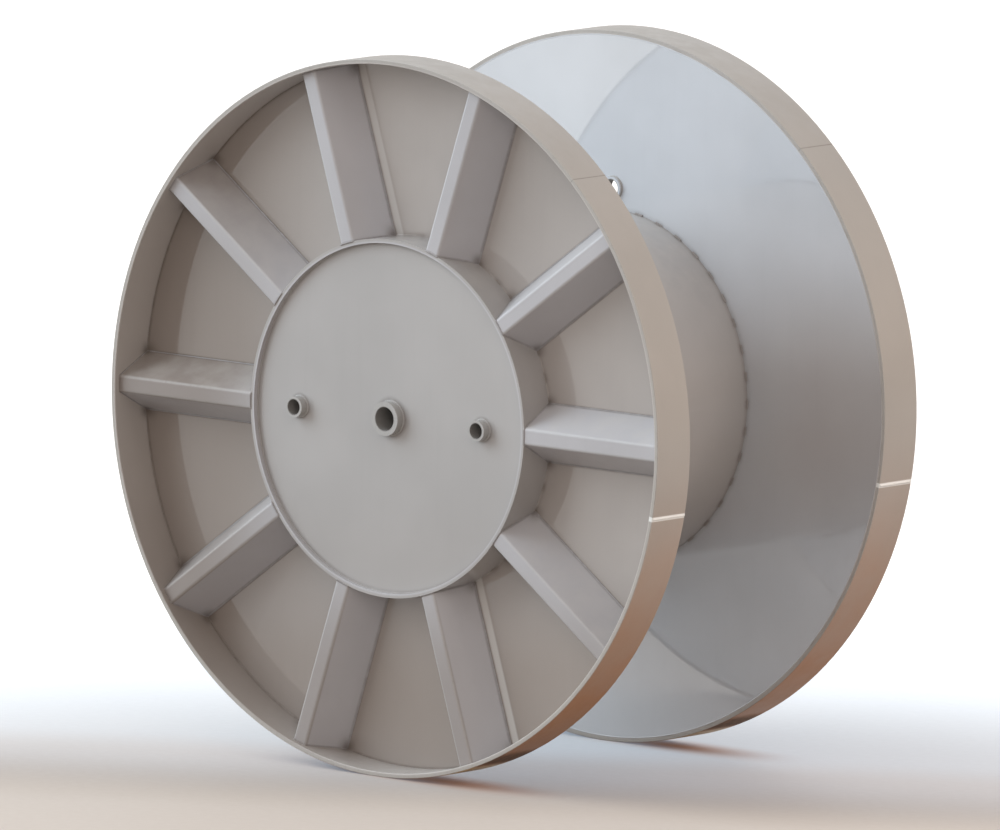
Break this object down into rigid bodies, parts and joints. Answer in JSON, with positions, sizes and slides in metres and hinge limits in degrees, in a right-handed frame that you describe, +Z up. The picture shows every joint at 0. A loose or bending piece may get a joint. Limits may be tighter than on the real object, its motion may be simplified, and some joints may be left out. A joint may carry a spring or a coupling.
{
  "type": "steel cable drum",
  "caption": "Welded steel cable drum: spoked flanges with rolled hoops and web plates on a closed barrel, with a spindle tube, drive-pin sleeves and a cable-end hole.",
  "frame": {"origin": "middle of the drum, on the spindle axis", "axes": "+Y along the spindle towards the far flange, which has the cable-end hole; +Z up; one pair of spokes lies along X"},
  "size_m": [2.4, 1.332, 2.3996],
  "materials": {
    "hoop_paint": "glossy warm grey paint, scuffed where it rolls",
    "web_paint": "glossy warm grey paint",
    "barrel_paint": "glossy warm grey paint",
    "disc_paint": "satin warm grey paint",
    "hub_paint": "warm grey paint, dark inside the bores",
    "spoke_paint": "glossy warm grey paint"
  },
  "bodies": {
    "root": {"rim_hoop_near": "hoop_paint", "rim_hoop_far": "hoop_paint", "web_plate_near": "web_paint", "web_plate_far": "web_paint", "barrel_tube": "barrel_paint", "end_disc_near": "disc_paint", "end_disc_far": "disc_paint", "spindle_tube": "hub_paint", "cable_end_sleeve": "hub_paint", "drive_sleeve_near_left": "hub_paint", "drive_sleeve_near_right": "hub_paint", "drive_sleeve_far_left": "hub_paint", "drive_sleeve_far_right": "hub_paint", "spoke_near_01": "spoke_paint", "spoke_near_02": "spoke_paint", "spoke_near_03": "spoke_paint", "spoke_near_04": "spoke_paint", "spoke_near_05": "spoke_paint", "spoke_near_06": "spoke_paint", "spoke_near_07": "spoke_paint", "spoke_near_08": "spoke_paint", "spoke_near_09": "spoke_paint", "spoke_near_10": "spoke_paint", "spoke_far_01": "spoke_paint", "spoke_far_02": "spoke_paint", "spoke_far_03": "spoke_paint", "spoke_far_04": "spoke_paint", "spoke_far_05": "spoke_paint", "spoke_far_06": "spoke_paint", "spoke_far_07": "spoke_paint", "spoke_far_08": "spoke_paint", "spoke_far_09": "spoke_paint", "spoke_far_10": "spoke_paint"}
  },
  "joints": []
}
